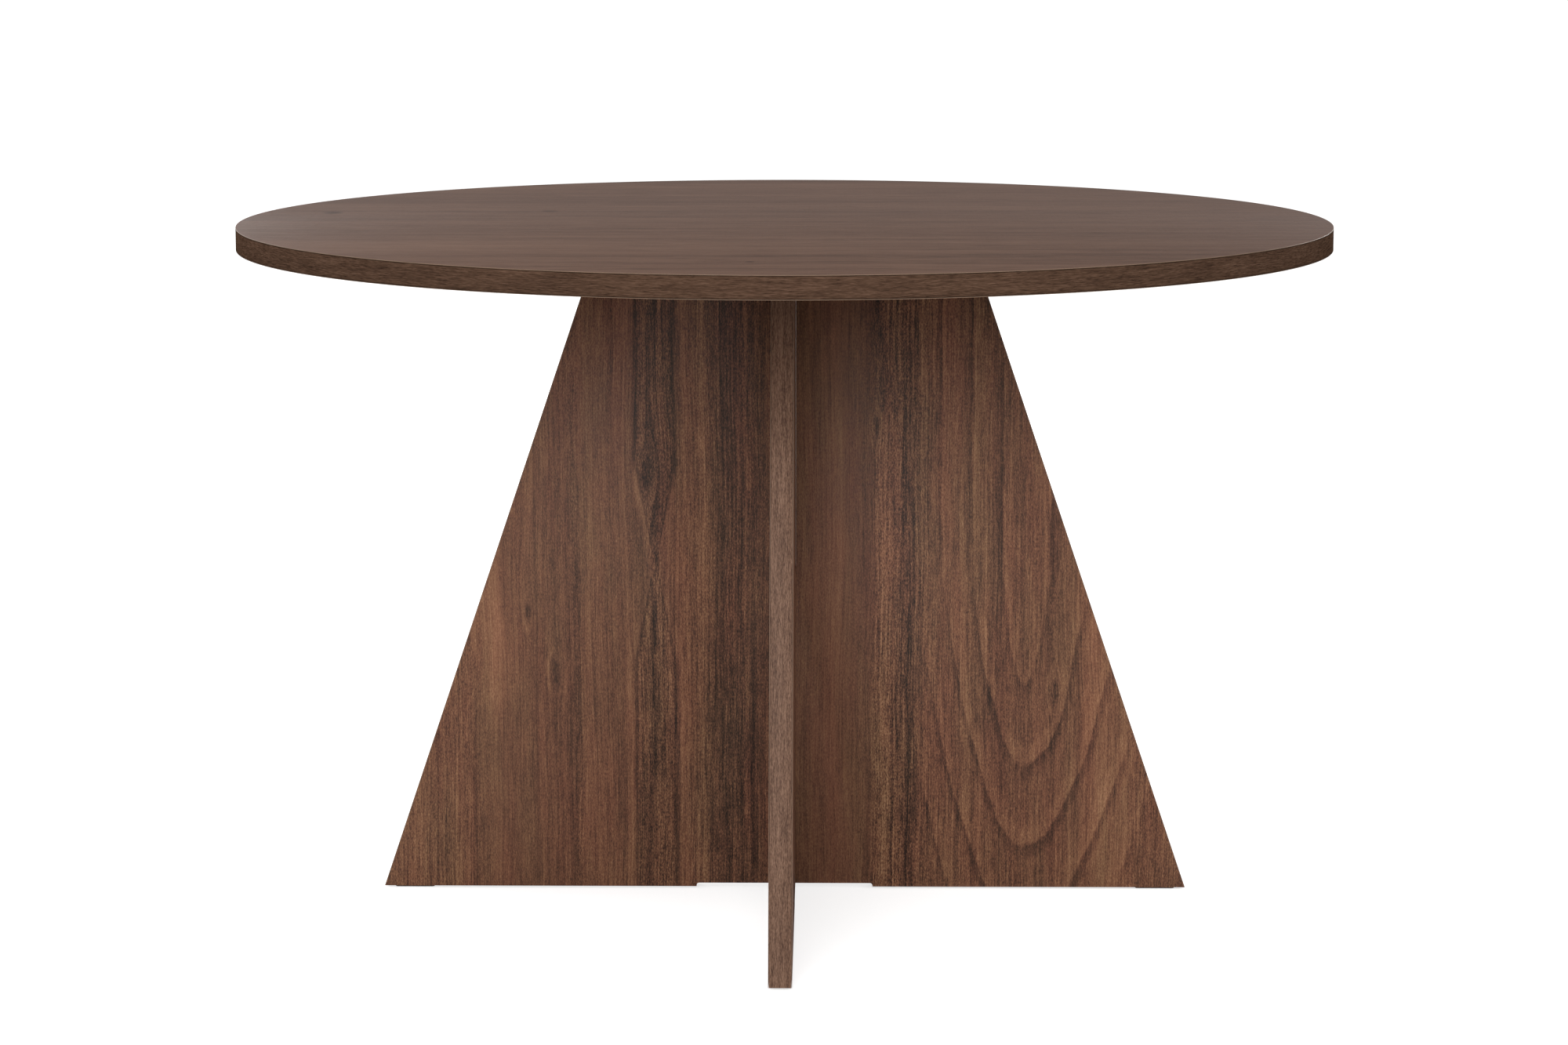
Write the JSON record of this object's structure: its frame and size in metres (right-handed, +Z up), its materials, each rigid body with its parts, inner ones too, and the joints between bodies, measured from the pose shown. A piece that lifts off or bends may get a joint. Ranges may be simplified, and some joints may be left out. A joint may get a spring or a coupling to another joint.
{
  "type": "round dining table",
  "caption": "Round veneered dining table whose top stands on two tapered panels crossed in an X.",
  "frame": {"origin": "on the floor, under the middle of the round top", "axes": "+Z up, +X along the wide panel, +Y along the deep panel"},
  "size_m": [1.2192, 1.2192, 0.762],
  "materials": {
    "veneer_top": "satin lacquered walnut veneer, grey-brown, grain along X",
    "veneer_panel": "satin lacquered walnut veneer, plank matched, grain upright",
    "veneer_band": "satin lacquered walnut edge band, grain along the edge",
    "fibreboard": "bare fibreboard core",
    "felt": "grey-brown pressed felt",
    "black_steel": "black powder-coated folded steel",
    "zinc": "zinc-plated steel",
    "beech": "bare fluted beech dowel, drawn plain"
  },
  "bodies": {
    "root": {"bracket_back": "black_steel", "bracket_front": "black_steel", "bracket_left": "black_steel", "bracket_right": "black_steel", "deep_panel_band_back": "veneer_band", "deep_panel_band_front": "veneer_band", "deep_panel_core": "fibreboard", "deep_panel_veneer_left": "veneer_panel", "deep_panel_veneer_right": "veneer_panel", "dowel_back": "beech", "dowel_front": "beech", "dowel_left": "beech", "dowel_right": "beech", "floor_pad_back": "felt", "floor_pad_front": "felt", "floor_pad_left": "felt", "floor_pad_right": "felt", "panel_insert_back_1": "zinc", "panel_insert_back_2": "zinc", "panel_insert_front_1": "zinc", "panel_insert_front_2": "zinc", "panel_insert_left_1": "zinc", "panel_insert_left_2": "zinc", "panel_insert_right_1": "zinc", "panel_insert_right_2": "zinc", "panel_screw_back_1": "zinc", "panel_screw_back_2": "zinc", "panel_screw_front_1": "zinc", "panel_screw_front_2": "zinc", "panel_screw_left_1": "zinc", "panel_screw_left_2": "zinc", "panel_screw_right_1": "zinc", "panel_screw_right_2": "zinc", "top_backing_veneer": "veneer_top", "top_core": "fibreboard", "top_edge_band": "veneer_band", "top_face_veneer": "veneer_top", "top_insert_back_1": "zinc", "top_insert_back_2": "zinc", "top_insert_front_1": "zinc", "top_insert_front_2": "zinc", "top_insert_left_1": "zinc", "top_insert_left_2": "zinc", "top_insert_right_1": "zinc", "top_insert_right_2": "zinc", "top_screw_back_1": "zinc", "top_screw_back_2": "zinc", "top_screw_front_1": "zinc", "top_screw_front_2": "zinc", "top_screw_left_1": "zinc", "top_screw_left_2": "zinc", "top_screw_right_1": "zinc", "top_screw_right_2": "zinc", "wide_panel_band_left": "veneer_band", "wide_panel_band_right": "veneer_band", "wide_panel_core": "fibreboard", "wide_panel_veneer_front": "veneer_panel", "wide_panel_veneer_rear": "veneer_panel"}
  },
  "joints": []
}
